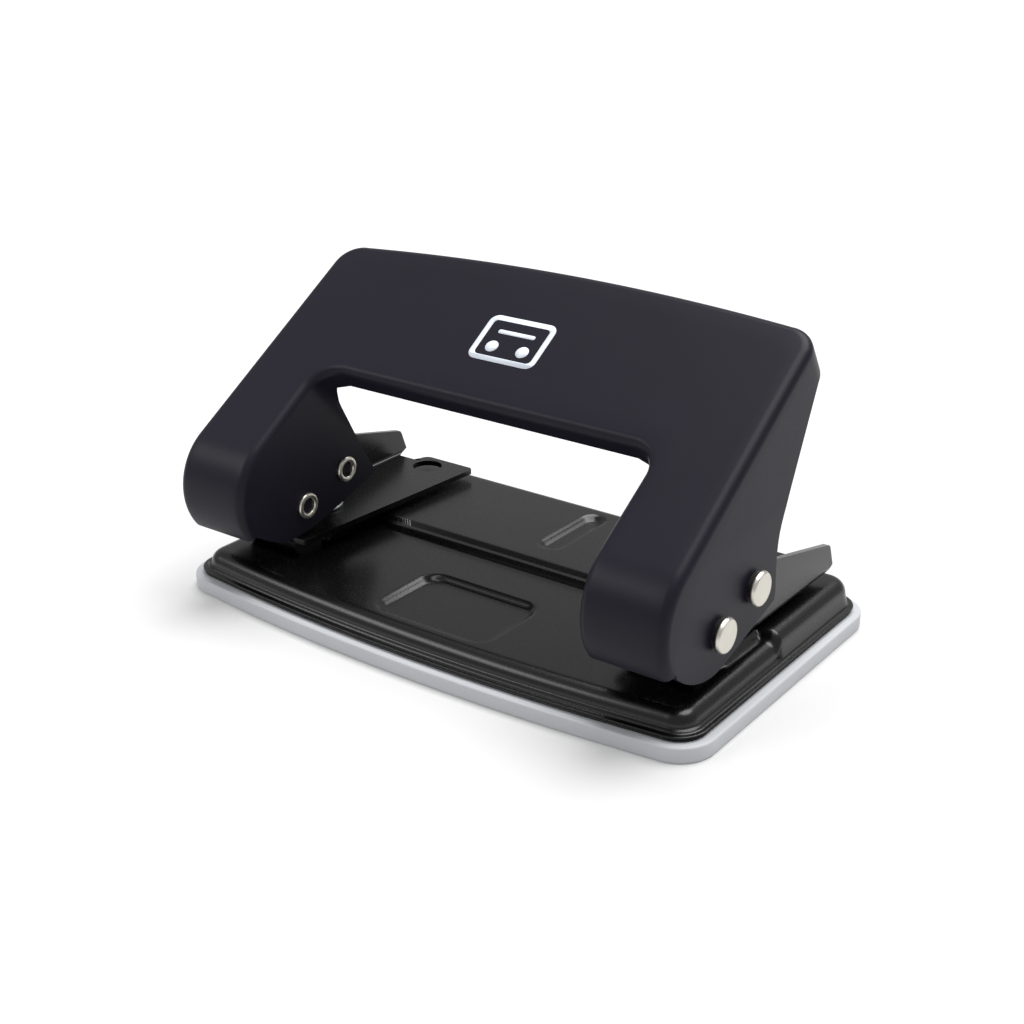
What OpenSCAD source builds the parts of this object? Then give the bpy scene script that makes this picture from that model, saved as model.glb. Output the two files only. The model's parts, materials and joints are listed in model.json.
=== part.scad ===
// Two-hole desk punch: pressed steel base on a clip-on plastic tray, two folded brackets, a stamped
// handle on two pivot pins, and two spring-returned punches driven by two pusher pins.
// X runs along the hole line, +Y to the side where the paper goes in, +Z up. The origin is on the
// underside, at the middle of the tray's outline.

/* [Overall] */
// Distance between the two punched holes, centre to centre
hole_spacing = 80; // [79.5:0.1:80.5]
// Width of each handle leg, outside to outside of its flanges
leg_w = 14.4; // [14.2:0.1:14.8]
// Overall width of the tray
tray_w = 102.4; // [102:0.2:106]
// Front edge of the tray at its corners, measured from the origin
tray_front = 28.4; // [28:0.2:30]
// How far the tray's front edge bows out at the middle
front_bow = 2.6; // [1:0.2:4]
// Radius of the tray's corners
corner_r = 6.4; // [5:0.2:8]

/* [Heights] */
// Height of the grey lip of the tray
lip_h = 2.7; // [2.5:0.1:2.9]
// Height of the paper bed
bed_z = 8.1; // [8:0.1:8.2]
// How far the front of the base lies below the paper bed
bed_step = 1.6; // [1.4:0.1:1.8]
// Height of the paper slot between bed and bracket
slot_h = 1.0; // [0.9:0.05:1]
// Thickness of the base and bracket sheet
sheet = 1.0; // [0.9:0.05:1]

/* [Mechanism] */
// Pivot pin axis, measured along Y from the origin
pivot_y = -15.2; // [-15.4:0.1:-15]
// Pivot pin axis, height above the table
pivot_z = 15.3; // [15.3:0.1:15.6]
// Distance of the pusher pin from the pivot pin
pusher_arm = 10.6; // [10.4:0.1:10.7]
// Angle of the pusher pin above the pivot pin at rest
pusher_angle = 19.3; // [19:0.1:20]
// How far the handle turns when it is pressed right down
press_angle = 16; // [12:1:16]
// Diameter of the pins' shanks
pin_d = 3.6; // [3.2:0.1:3.6]
// Diameter of the punches
punch_d = 5.5; // [5.4:0.1:5.6]

/* [Handle] */
// Thickness of the handle sheet
handle_t = 1.2; // [1:0.1:1.2]
// Slope of the handle's front plate
plate_angle = 33; // [32:0.5:34]
// Outer radius of the roll at the front of each leg
roll_r = 10.9; // [10.6:0.1:11]
// Length of the front plate from the roll to its top corners
plate_len = 45.8; // [45:0.2:47]
// How far the top edge bows up at the middle
plate_bow = 2.1; // [1:0.1:3]
// Distance of the window's top edge from the roll
window_top = 18.5; // [18:0.1:19]
// Depth of the turned-back flange along the top edge
top_flange = 6.5; // [5:0.5:7]

/* [Hidden] */

steel_black = [0.09, 0.09, 0.10];
handle_black = [0.13, 0.12, 0.15];
tray_grey = [0.70, 0.71, 0.73];
nickel = [0.80, 0.79, 0.75];
hard_steel = [0.55, 0.56, 0.58];

eps = 0.01;
run_gap = 0.05;                    // radial clearance of a running fit

// Levels
tray_rear = tray_front + front_bow;
front_z = bed_z - bed_step;
foot_z = bed_z + slot_h;
foot_top = foot_z + sheet;
step_y = 2.4;                      // line where the bed steps down to the front area

// Hole line and handle legs
punch_x = hole_spacing / 2;
leg_out = punch_x + leg_w / 2;
leg_in = punch_x - leg_w / 2;
pusher_y = pivot_y + pusher_arm * cos(pusher_angle);
pusher_z = pivot_z + pusher_arm * sin(pusher_angle);
punch_y = pusher_y + 0.3;          // middle of the pusher's small swing along Y
stroke = pusher_arm * (sin(pusher_angle) - sin(pusher_angle - press_angle));

// Tray
tray_wall = 2.5;
tray_floor = 1.2;
rim_in = 3.5;                      // the locating rim stands this far inside the outline
rim_t = 1;
rim_h = 0.3;
clip_w = 8;
clip_h = 3.6;

// Base plate
flange_t = 0.9;
flange_in = 1.3;                   // the lip shows this wide round the base's flange
wall_in = 2.2;
shoulder_in = 5.2;                 // the flat top starts this far inside the outline
shoulder_r = 2.4;
base_bottom = lip_h + 0.05;
recess_w = 22;
recess_y = [-24.2, -9];
recess_r = 3;
mark_w = 3.6;
mark_x = 0.8;
mark_y = [8, 24];
deboss = 0.7;
boss_x = [33.4, 44.6];             // raised boss round each die, level with the paper bed
boss_y = [-11.2, 3];
boss_r = 3;

// Brackets
ear_gap = 0.25;                    // between the ear and the handle's outer flange
ear_out = leg_out - handle_t - ear_gap;
ear_slope = 13.5;
ear_rear = 23;
ear_r = 8.4;
foot_rear = 25.3;
foot_in = [31.2, 28.5];           // inner edge of the foot, at its front and at its rear
lug_in = leg_in + handle_t + 0.3;
lug_r = 5;
sight_x = 36.3;
sight_y = 21.3;
sight_d = 5.5;
paper_edge = 12;                   // hole centre to the edge of the paper
stop_y = punch_y - paper_edge;
foot_front = stop_y - sheet;       // the fold in front of the foot is also the paper stop
rivet_d = 2;
rivet_x = [punch_x - 3.6, punch_x + 1.6];
rivet_y = -14.2;

// Dies, guides and punches
die_d = 8.4;
die_h = 2.2;
guide_d = 7.2;
guide_h = 2.1;
guide_rim = 0.8;
guide_rim_h = 0.6;
collar_d = 8.8;
collar_h = 0.8;
groove_d = 4.5;
punch_tip = foot_z + 0.2;
punch_top = pusher_z - pin_d / 2 - 0.1;
collar_z = punch_top - 1.5;
wire_d = 0.45;
spring_r = 4.1;
spring_turns = 4;
spring_z = foot_top + guide_rim_h;

// Pins
head_d = 5.6;
head_h = 1.6;
head_bevel = 0.35;
neck_d = 4.8;                      // the head is undercut, so it stands off the leg
neck_h = 0.8;
ring_d = 4.5;
ring_h = 0.65;
bore_d = 2.7;
bore_depth = 4;

// Handle
roll_y = pivot_y - 4.4;
roll_z = pivot_z + 4.3;
roll_end = 218;                    // direction in which the roll's sheet ends
tangent_y = roll_y - roll_r * sin(plate_angle);
tangent_z = roll_z + roll_r * cos(plate_angle);
plate_corner_r = 5;
window_r = 4.5;
window_lip = 3.9;

// ---- outlines ----

// Points of an arc about (cx, cy) from angle a0 to a1
function arc(cx, cy, r, a0, a1, n = 8) = [for (i = [0:n])
    [cx + r * cos(a0 + (a1 - a0) * i / n), cy + r * sin(a0 + (a1 - a0) * i / n)]];

// Edge from x = -w to w that bows from y to y + bow in the middle
function bowed(w, y, bow, n = 20) = [for (i = [0:n]) let (k = 2 * i / n - 1) [w * k, y + bow * (1 - k * k)]];

// Outline of the tray and base, moved in by inset
function base_outline(inset) = let (w = tray_w / 2 - inset, r = max(corner_r - inset, 1),
    f = inset - tray_front, b = tray_rear - inset) concat(bowed(w - r, f, -front_bow),
    arc(w - r, f + r, r, -90, 0), arc(w - r, b - r, r, 0, 90),
    arc(r - w, b - r, r, 90, 180), arc(r - w, f + r, r, 180, 270));

// Outline of the raised paper bed, moved in by inset
function bed_outline(inset) = let (w = tray_w / 2 - inset, r = max(corner_r - inset, 1),
    f = step_y + inset - shoulder_in, b = tray_rear - inset)
    concat([[-w, f], [w, f]], arc(w - r, b - r, r, 0, 90), arc(r - w, b - r, r, 90, 180));

// Rounded rectangle centred on x = 0, between two values of y
function pad_outline(w, y, r) = concat(arc(w / 2 - r, y[0] + r, r, -90, 0), arc(w / 2 - r, y[1] - r, r, 0, 90),
    arc(r - w / 2, y[1] - r, r, 90, 180), arc(r - w / 2, y[0] + r, r, 180, 270));

// Point of the handle's side view: s along the plate from the roll, d below the plate's face
function side_point(s, d) = [tangent_y + s * cos(plate_angle) + d * sin(plate_angle),
    tangent_z + s * sin(plate_angle) - d * cos(plate_angle)];

// Front line of the handle's side view, from the roll's end up to distance s, moved in by inset
function front_line(s, inset, end = roll_end) = concat(
    arc(roll_y, roll_z, roll_r - inset, end, 90 + plate_angle, 16), [side_point(s, inset)]);

// ---- helpers ----

// Extrudes a side view drawn in (Y, Z) from x to x + w
module side_extrude(x, w) translate([x, 0, 0]) rotate([90, 0, 90]) linear_extrude(w) children();

// Puts a shape drawn in the plate's plane (X, s) into place, d below the plate's face
module on_plate(d) translate([0, tangent_y, tangent_z]) rotate([plate_angle, 0, 0]) translate([0, 0, -d])
    children();

// Mirrors a piece of the right-hand side for the left (s = -1)
module side(s) if (s < 0) mirror([1, 0, 0]) children(); else children();

// Thin slice of an outline at height z
module slice(points, z) translate([0, 0, z]) linear_extrude(eps) polygon(points);

// ---- tray ----

module tray() color(tray_grey) {
    difference() {
        linear_extrude(lip_h) polygon(base_outline(0));
        translate([0, 0, tray_floor]) linear_extrude(lip_h) polygon(base_outline(tray_wall));
    }
    difference() {
        translate([0, 0, tray_floor - eps]) linear_extrude(lip_h + rim_h - tray_floor)
            polygon(base_outline(rim_in));
        linear_extrude(lip_h + 1) polygon(base_outline(rim_in + rim_t));
    }
    for (s = [-1, 1], y = [-12, 12])
        translate([s * (tray_w / 2 - rim_in - rim_t - 0.4) - rim_t / 2, y - clip_w / 2, tray_floor - eps])
            cube([rim_t, clip_w, clip_h]);
}

// ---- base plate ----

// Solid of one level: a wall that leans in a little, then a rounded shoulder up to the flat top
module level(raised, top, shrink) hull() {
    slice(raised ? bed_outline(wall_in + shrink) : base_outline(wall_in + shrink), base_bottom - shrink);
    for (a = [0:22.5:90]) let (inset = shoulder_in - shoulder_r * cos(a) + 0.6 * shrink)
        slice(raised ? bed_outline(inset) : base_outline(inset), top - shoulder_r + shoulder_r * sin(a) - eps);
}

// Sunk panel, and the sheet under it
module panel(points, top, depth) translate([0, 0, top - depth]) linear_extrude(depth + 1) polygon(points);

// Straight-sided boss under each foot, moved in by shrink
module boss(shrink) for (s = [-1, 1])
    translate([s * (boss_x[0] + boss_x[1]) / 2, 0, front_z - 2 * sheet - shrink])
        linear_extrude(bed_z - front_z + 2 * sheet)
            polygon(pad_outline(boss_x[1] - boss_x[0] - 2 * shrink, boss_y + [shrink, -shrink], boss_r - shrink));

module base_plate() color(steel_black) difference() {
    union() {
        difference() {
            union() {
                level(false, front_z, 0);
                level(true, bed_z, 0);
                intersection() {
                    boss(0);
                    translate([-50, -20, front_z - sheet]) cube([100, 40, sheet * 4]);
                }
                translate([0, 0, base_bottom]) linear_extrude(flange_t) polygon(base_outline(flange_in));
            }
            level(false, front_z - sheet, sheet);
            level(true, bed_z - sheet, sheet);
            boss(sheet);
        }
        translate([0, 0, front_z - sheet - deboss]) linear_extrude(sheet + deboss - eps)
            polygon(pad_outline(recess_w + 2 * sheet, recess_y + [-sheet, sheet], recess_r + sheet));
        translate([mark_x, 0, bed_z - sheet - deboss]) linear_extrude(sheet + deboss - eps)
            polygon(pad_outline(mark_w + 2 * sheet, mark_y + [-sheet, sheet], mark_w / 2));
    }
    panel(pad_outline(recess_w, recess_y, recess_r), front_z, deboss);
    translate([mark_x, 0, 0]) panel(pad_outline(mark_w, mark_y, mark_w / 2 - eps), bed_z, deboss);
    for (s = [-1, 1]) {
        translate([s * punch_x, punch_y, bed_z - sheet - 2]) cylinder(d = die_d, h = sheet + 4, $fn = 48);
        for (x = rivet_x) translate([s * x, rivet_y, front_z - sheet - 1])
            cylinder(d = rivet_d, h = sheet + 2, $fn = 32);
    }
}

// Hardened ring pressed into the base under each punch; its bore is the lower cutting edge
module die(s) color(hard_steel) translate([s * punch_x, punch_y, bed_z - die_h]) difference() {
    cylinder(d = die_d, h = die_h, $fn = 48);
    translate([0, 0, -1]) cylinder(d = punch_d + 2 * run_gap, h = die_h + 2, $fn = 48);
}

// ---- brackets ----

// Side view of the ear: a nose round the pivot, a top that falls to the rear, a leaning rear edge
module ear_side() let (tip_z = pivot_z + ear_r / cos(ear_slope) - (ear_rear - pivot_y) * tan(ear_slope))
    polygon(concat([[foot_front, foot_z]], arc(pivot_y, pivot_z, ear_r, 200, 90 - ear_slope, 16),
        arc(ear_rear - 0.1, tip_z - 1.2, 1.2, 90 - ear_slope, 20, 4), [[ear_rear + 3, foot_z]]));

module foot_plan() polygon(concat([[foot_in[0], foot_front], [foot_in[1], foot_rear]],
    arc(punch_x - 1.6, foot_rear - 1.5, 1.5, 90, 0), [[punch_x + 0.6, foot_rear - 2.8],
    [ear_out, foot_rear - 2.8], [ear_out, foot_front]]));

// Slot that the pusher pin sweeps through as the handle turns: two arcs about the pivot, with round ends
module pusher_slot() let (r = pin_d / 2 + 0.35, a0 = pusher_angle - press_angle - 1, a1 = pusher_angle)
    polygon(concat(arc(pivot_y, pivot_z, pusher_arm + r, a0, a1),
        arc(pivot_y + pusher_arm * cos(a1), pivot_z + pusher_arm * sin(a1), r, a1 + 20, a1 + 160),
        arc(pivot_y, pivot_z, pusher_arm - r, a1, a0),
        arc(pivot_y + pusher_arm * cos(a0), pivot_z + pusher_arm * sin(a0), r, a0 - 160, a0 - 20)));

module bracket(s) color(steel_black) side(s) difference() {
    union() {
        side_extrude(ear_out - sheet, sheet) ear_side();
        translate([0, 0, foot_z]) linear_extrude(sheet) foot_plan();
        side_extrude(lug_in, sheet) polygon(concat(arc(pivot_y, pivot_z, lug_r, 190, 0, 16),
            [[pivot_y + lug_r, foot_z + sheet / 2], [foot_front + eps, foot_z + sheet / 2]]));
        // the foot's front edge folds down, where it stops the paper, and back under; it is riveted to the base
        translate([punch_x - 6.5, foot_front, front_z]) cube([11, sheet, foot_z - front_z + sheet / 2]);
        translate([punch_x - 6.5, foot_front, front_z]) cube([11, rivet_y + 2.6 - foot_front, sheet]);
    }
    side_extrude(leg_in, leg_w) translate([pivot_y, pivot_z]) circle(d = pin_d + 2 * run_gap, $fn = 48);
    side_extrude(ear_out - sheet - 1, sheet + 2) pusher_slot();
    translate([punch_x, punch_y, foot_z - 1]) cylinder(d = guide_d, h = sheet + 2, $fn = 48);
    translate([sight_x, sight_y, foot_z - 1]) cylinder(d = sight_d, h = sheet + 2, $fn = 48);
    for (x = rivet_x) translate([x, rivet_y, front_z - 1]) cylinder(d = rivet_d, h = sheet + 1.5, $fn = 32);
}

module bracket_rivets() color(nickel) for (s = [-1, 1], x = rivet_x)
    translate([s * x, rivet_y, front_z - sheet]) {
        cylinder(d = rivet_d, h = 2 * sheet, $fn = 32);
        translate([0, 0, 2 * sheet]) cylinder(d = rivet_d + 1.2, h = 0.5, $fn = 32);
        translate([0, 0, -0.5]) cylinder(d = rivet_d + 1.2, h = 0.5, $fn = 32);
    }

// Flanged bush in the foot that guides the punch; the return spring stands on its flange
module guide(s) color(hard_steel) translate([s * punch_x, punch_y, foot_z]) difference() {
    union() {
        cylinder(d = guide_d, h = sheet + guide_h, $fn = 48);
        translate([0, 0, sheet]) cylinder(d = guide_d + 2 * guide_rim, h = guide_rim_h, $fn = 48);
    }
    translate([0, 0, -1]) cylinder(d = punch_d + 2 * run_gap, h = sheet + guide_h + 2, $fn = 48);
}

// ---- handle ----

// Outline of the front plate in its own plane, moved in by inset; it runs on below the roll
module plate_outline(inset) let (w = leg_out - inset, r = plate_corner_r - inset, top = plate_len - inset)
    polygon(concat([[-w, -40], [w, -40]], arc(w - r, top - r, r, 0, 80, 8),
        [for (p = bowed(w - r, top, plate_bow, 20)) [-p[0], p[1]]],
        arc(r - w, top - r, r, 100, 180, 8)));

module window_outline(grow) let (w = leg_in + grow, r = window_r + grow, top = window_top + grow)
    polygon(concat([[-w, -40], [w, -40]], arc(w - r, top - r, r, 0, 90), arc(r - w, top - r, r, 90, 180)));

// Side view of the outer flange and of everything behind the plate's face
module outer_side(inset) polygon(concat(front_line(plate_len + 6, inset),
    [side_point(plate_len + 6, top_flange + 3 * inset), side_point(plate_len - 3.8, top_flange + 0.3 + 3 * inset),
     [pivot_y + 18.1 + 3 * inset, pivot_z + 12.3], [pivot_y + 16.9 + 3 * inset, pivot_z + 8.4],
     [pivot_y + 16.8 + 3 * inset, pivot_z + 0.6], [pivot_y + 15.4 + 3 * inset, pivot_z - 1.1 - 3 * inset],
     [pivot_y + 1.7, pivot_z - 5.3 - 3 * inset], [pivot_y - 3.3, pivot_z - 5.9 - 3 * inset],
     [pivot_y - 6.8, pivot_z - 4.6 - 3 * inset]]));

module inner_side() polygon(concat(front_line(window_top + handle_t, 0.3, roll_end - 6),
    [side_point(window_top + handle_t, window_lip), side_point(window_top - 1.3, 8.4),
     [pivot_y + 17.8, pivot_z + 1.2], [pivot_y + 16.4, pivot_z - 0.1], [pivot_y + 1.4, pivot_z - 4.4],
     [pivot_y - 4.3, pivot_z - 4.9], [pivot_y - 7.4, pivot_z - 4.1]]));

module handle() color(handle_black) difference() {
    union() {
        difference() {
            intersection() {
                side_extrude(-leg_out, 2 * leg_out) outer_side(0);
                on_plate(40) linear_extrude(41) plate_outline(0);
            }
            intersection() {
                side_extrude(-leg_out, 2 * leg_out) outer_side(handle_t);
                on_plate(40) linear_extrude(39.5) plate_outline(handle_t);
            }
            on_plate(40) linear_extrude(42) window_outline(0);
        }
        for (x = [-leg_in - handle_t, leg_in]) side_extrude(x, handle_t) inner_side();
        on_plate(window_lip) linear_extrude(window_lip - eps) intersection() {
            difference() { window_outline(handle_t); window_outline(0); }
            translate([-50, 0]) square([100, 40]);
        }
    }
    for (p = [[pivot_y, pivot_z], [pusher_y, pusher_z]])
        side_extrude(-leg_out - 1, 2 * leg_out + 2) translate(p) circle(d = pin_d, $fn = 48);
}

// Pin with a flat head outside and a hollow end rolled over on the inner flange
module pin(s, y, z) color(nickel) side(s) translate([leg_out, y, z]) rotate([0, 90, 0])
    rotate_extrude($fn = 64) polygon([[0, head_h], [head_d / 2 - head_bevel, head_h],
        [head_d / 2, head_h - head_bevel], [head_d / 2, neck_h], [neck_d / 2, neck_h], [neck_d / 2, 0], [pin_d / 2, 0], [pin_d / 2, -leg_w],
        [ring_d / 2, -leg_w], [ring_d / 2, -leg_w - ring_h / 2], [ring_d / 2 - 0.25, -leg_w - ring_h],
        [bore_d / 2 + 0.2, -leg_w - ring_h], [bore_d / 2, -leg_w - ring_h / 2],
        [bore_d / 2, bore_depth - leg_w], [0, bore_depth - leg_w]]);

// ---- punches ----

module punch(s) color(hard_steel) translate([s * punch_x, punch_y, 0]) difference() {
    translate([0, 0, punch_tip]) cylinder(d = punch_d, h = punch_top - punch_tip, $fn = 48);
    // the cutting end is hollow ground, and a groove holds the collar
    translate([0, 0, punch_tip - 0.1]) cylinder(d1 = punch_d - 1, d2 = 1, h = 0.9, $fn = 48);
    translate([0, 0, collar_z]) difference() {
        cylinder(d = punch_d + 1, h = collar_h, $fn = 48);
        translate([0, 0, -1]) cylinder(d = groove_d, h = collar_h + 2, $fn = 48);
    }
}

// Split ring that snaps into the punch's groove and carries the return spring
module collar(s) color(hard_steel) translate([s * punch_x, punch_y, collar_z + 0.02]) difference() {
    cylinder(d = collar_d, h = collar_h - 0.04, $fn = 48);
    translate([0, 0, -1]) cylinder(d = groove_d + 0.04, h = collar_h + 2, $fn = 48);
    translate([0, -0.6, -1]) cube([collar_d, 1.2, collar_h + 2]);
}

// Coil as one swept ring: rings of points along a helix, joined, with closed ends
coil_steps = 96;
coil_sides = 8;
coil_z0 = spring_z + wire_d / 2 + 0.02;
coil_z1 = collar_z - wire_d / 2 - 0.02;
module spring(s) color(nickel) translate([s * punch_x, punch_y, 0]) polyhedron(
    points = [for (i = [0:coil_steps], j = [0:coil_sides - 1])
        let (a = 360 * spring_turns * i / coil_steps, b = 360 * j / coil_sides,
             r = spring_r + wire_d / 2 * cos(b))
        [r * cos(a), r * sin(a), coil_z0 + (coil_z1 - coil_z0) * i / coil_steps + wire_d / 2 * sin(b)]],
    faces = concat([[for (j = [0:coil_sides - 1]) j]],
        [[for (j = [coil_sides - 1:-1:0]) coil_steps * coil_sides + j]],
        [for (i = [0:coil_steps - 1], j = [0:coil_sides - 1]) let (k = (j + 1) % coil_sides)
            [i * coil_sides + j, (i + 1) * coil_sides + j, (i + 1) * coil_sides + k, i * coil_sides + k]]));

// ---- nodes ----

tray();
base_plate();
bracket(-1);  // left_bracket
bracket(1);  // right_bracket
bracket_rivets();
die(-1);  // left_die
die(1);  // right_die
guide(-1);  // left_guide
guide(1);  // right_guide
handle();
pin(-1, pivot_y, pivot_z);  // left_pivot_pin
pin(1, pivot_y, pivot_z);  // right_pivot_pin
pin(-1, pusher_y, pusher_z);  // left_pusher_pin
pin(1, pusher_y, pusher_z);  // right_pusher_pin
punch(-1);  // left_punch
punch(1);  // right_punch
collar(-1);  // left_collar
collar(1);  // right_collar
spring(-1);  // left_spring
spring(1);  // right_spring
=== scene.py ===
import json
import math
import bmesh
import bpy
import numpy as np
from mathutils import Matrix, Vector


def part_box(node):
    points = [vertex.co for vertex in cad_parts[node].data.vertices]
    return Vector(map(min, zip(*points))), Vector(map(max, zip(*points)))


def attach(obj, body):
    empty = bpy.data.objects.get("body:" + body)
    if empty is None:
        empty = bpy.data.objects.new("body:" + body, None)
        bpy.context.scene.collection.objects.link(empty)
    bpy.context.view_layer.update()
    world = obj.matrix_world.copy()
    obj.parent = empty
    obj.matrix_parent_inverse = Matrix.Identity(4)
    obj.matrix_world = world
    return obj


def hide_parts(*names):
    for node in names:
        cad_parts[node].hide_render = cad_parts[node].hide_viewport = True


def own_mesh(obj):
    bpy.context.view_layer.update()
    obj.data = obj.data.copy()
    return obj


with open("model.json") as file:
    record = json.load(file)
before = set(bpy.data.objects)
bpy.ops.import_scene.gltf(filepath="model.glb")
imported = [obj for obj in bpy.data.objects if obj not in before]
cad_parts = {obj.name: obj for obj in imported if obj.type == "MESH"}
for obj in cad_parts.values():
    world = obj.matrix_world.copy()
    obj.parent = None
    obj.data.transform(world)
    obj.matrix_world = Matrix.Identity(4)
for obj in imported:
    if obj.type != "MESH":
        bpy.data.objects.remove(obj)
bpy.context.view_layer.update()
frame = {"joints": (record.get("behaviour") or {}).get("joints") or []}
MM = 0.001


# ---- Camera ----
# A short telephoto view from the front right and a little above, level with the horizon.

def turned(yaw, pitch):
    """Direction of a line that starts along +Y and is turned by yaw about Z, then raised by pitch."""
    yaw, pitch = math.radians(yaw), math.radians(pitch)
    return Vector((-math.sin(yaw) * math.cos(pitch), math.cos(yaw) * math.cos(pitch), math.sin(pitch)))


camera = bpy.data.objects.new("camera", bpy.data.cameras.new("camera"))
bpy.context.scene.collection.objects.link(camera)
camera.data.sensor_width = 36
camera.data.lens = 55.7
camera.data.shift_x = -0.007
camera.data.shift_y = -0.003
camera.data.clip_start = 0.01
camera.location = Vector((142.7, -194.6, 120.3)) * MM
camera.rotation_mode = "QUATERNION"
camera.rotation_quaternion = turned(36.1, -23.05).to_track_quat("-Z", "Y")
bpy.context.scene.camera = camera


# ---- Floor and light ----
# A seamless white sweep under a dim white room. One very broad lamp stands high up, a little behind and to
# the right, and a weak soft box at the front left lights the fronts of the legs.

def hex_colour(code):
    """Linear colour of an sRGB hex code: each channel c becomes c / 12.92, or ((c + 0.055) / 1.055) ** 2.4."""
    channels = [int(code[i:i + 2], 16) / 255 for i in (0, 2, 4)]
    return [c / 12.92 if c <= 0.04045 else ((c + 0.055) / 1.055) ** 2.4 for c in channels] + [1]


def add_node(material, kind, settings=None, **links):
    """Adds a shader node. settings sets its properties, links its inputs: a value, or a (node, output) pair."""
    node = material.node_tree.nodes.new(kind)
    for name, value in (settings or {}).items():
        setattr(node, name, value)
    for name, value in links.items():
        socket = node.inputs[int(name[1:])] if name[1:].isdigit() else node.inputs[name.replace("_", " ")]
        if isinstance(value, tuple):
            material.node_tree.links.new(value[0].outputs[value[1]], socket)
        else:
            socket.default_value = value
    return node


def new_material(name):
    """An empty node material, with its output node."""
    material = bpy.data.materials.new(name)
    material.use_nodes = True
    material.node_tree.nodes.clear()
    return material, material.node_tree.nodes.new("ShaderNodeOutputMaterial")


def shaded(material, output, shader):
    """Connects the finished shader to the material's output."""
    material.node_tree.links.new(shader.outputs[0], output.inputs["Surface"])
    return material


def surface(name, points, faces, material, smooth=True):
    """A mesh object at the origin from an (n, 3) array in millimetres and a list of faces."""
    mesh = bpy.data.meshes.new(name)
    mesh.from_pydata((np.asarray(points, float) * MM).tolist(), [], [list(f) for f in faces])
    mesh.polygons.foreach_set("use_smooth", [smooth] * len(mesh.polygons))
    mesh.materials.append(material)
    mesh.update()
    piece = bpy.data.objects.new(name, mesh)
    bpy.context.scene.collection.objects.link(piece)
    return piece


def grid_faces(rows, columns, closed=False):
    """Quads of a grid of points stored row by row; closed joins the last column to the first."""
    i, j = np.meshgrid(np.arange(rows - 1), np.arange(columns if closed else columns - 1), indexing="ij")
    k = (j + 1) % columns
    quads = np.stack([i * columns + j, i * columns + k, (i + 1) * columns + k, (i + 1) * columns + j], -1)
    return quads.reshape(-1, 4)


# Matt white paper, lit a little from behind so that it shows white right up to the punch
sweep_white, out = new_material("white_sweep_paper")
shaded(sweep_white, out, add_node(sweep_white, "ShaderNodeBsdfPrincipled",
                                  Base_Color=hex_colour("bebebe"), Roughness=0.8,
                                  Emission_Color=hex_colour("ffffff"), Emission_Strength=0.14))
SWEEP = 3000
floor = surface("floor", [(-SWEEP, -SWEEP, 0), (SWEEP, -SWEEP, 0), (SWEEP, SWEEP, 0), (-SWEEP, SWEEP, 0)],
                [(0, 1, 2, 3)], sweep_white)

bpy.context.scene.view_settings.view_transform = "Standard"
world = bpy.data.worlds.new("studio")
bpy.context.scene.world = world
world.use_nodes = True
world.node_tree.nodes["Background"].inputs["Color"].default_value = hex_colour("ffffff")
world.node_tree.nodes["Background"].inputs["Strength"].default_value = 0.48


def soft_box(name, place, target, width, height, power):
    """A rectangular lamp at place, in millimetres, that faces target."""
    lamp = bpy.data.objects.new(name, bpy.data.lights.new(name, "AREA"))
    lamp.data.shape = "RECTANGLE"
    lamp.data.size = width * MM
    lamp.data.size_y = height * MM
    lamp.data.energy = power
    lamp.location = Vector(place) * MM
    lamp.rotation_mode = "QUATERNION"
    lamp.rotation_quaternion = (Vector(target) - Vector(place)).to_track_quat("-Z", "Y")
    bpy.context.scene.collection.objects.link(lamp)


overhead = bpy.data.objects.new("overhead", bpy.data.lights.new("overhead", "SUN"))
overhead.data.energy = 4.3
overhead.data.angle = math.radians(56)
overhead.rotation_mode = "QUATERNION"
overhead.rotation_quaternion = Vector((-100, -330, -900)).to_track_quat("-Z", "Y")
bpy.context.scene.collection.objects.link(overhead)
soft_box("front_left_box", (-486, -527, 545), (0, 0, 20), 520, 260, 2.2)


# ---- Tray ----
# The chip tray is one injection-moulded part in grey polypropylene with a dull, finely eroded skin. Its lip
# stands out all round under the base plate, and a rim inside holds it in the base.

tray_low, tray_high = (np.array(c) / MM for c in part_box("tray"))
TRAY_W = tray_high[0] - tray_low[0]
FRONT_BOW = 2.6
TRAY_FRONT = -tray_low[1] - FRONT_BOW
TRAY_REAR = tray_high[1]
CORNER_R = 6.4
LIP_H = 2.7


def outline(inset, long_side=60, short_side=40, corner=10):
    """Closed outline of tray and base, moved in by inset: the front edge bows out by
    FRONT_BOW times 1 - k squared, k running from -1 to 1, and quarter circles join the sides."""
    w, r = TRAY_W / 2 - inset, max(CORNER_R - inset, 0.8)
    front, rear = inset - TRAY_FRONT, TRAY_REAR - inset
    k = np.linspace(-1, 1, long_side, endpoint=False)
    front_edge = np.stack([(w - r) * k, front - FRONT_BOW * (1 - k * k)], -1)
    k = np.linspace(0, 1, short_side, endpoint=False)
    side_edge = np.stack([w + 0 * k, front + r + (rear - front - 2 * r) * k], -1)
    k = np.linspace(1, -1, long_side, endpoint=False)
    rear_edge = np.stack([(w - r) * k, rear + 0 * k], -1)

    def turn(cx, cy, start):
        a = np.radians(start + 90 * np.linspace(0, 1, corner, endpoint=False))
        return np.stack([cx + r * np.cos(a), cy + r * np.sin(a)], -1)

    return np.concatenate([
        front_edge, turn(w - r, front + r, -90), side_edge, turn(w - r, rear - r, 0),
        rear_edge, turn(r - w, rear - r, 90), side_edge[::-1] * [-1, 1], turn(r - w, front + r, 180)])


def rings(profile, **counts):
    """Points of a closed moulding: each (inset, z) of the profile is one ring round the outline."""
    loops = [outline(inset, **counts) for inset, z in profile]
    heights = [z + 0 * loops[0][:, :1] for inset, z in profile]
    return np.concatenate([np.hstack([loop, z]) for loop, z in zip(loops, heights)]), len(loops[0])


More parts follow.
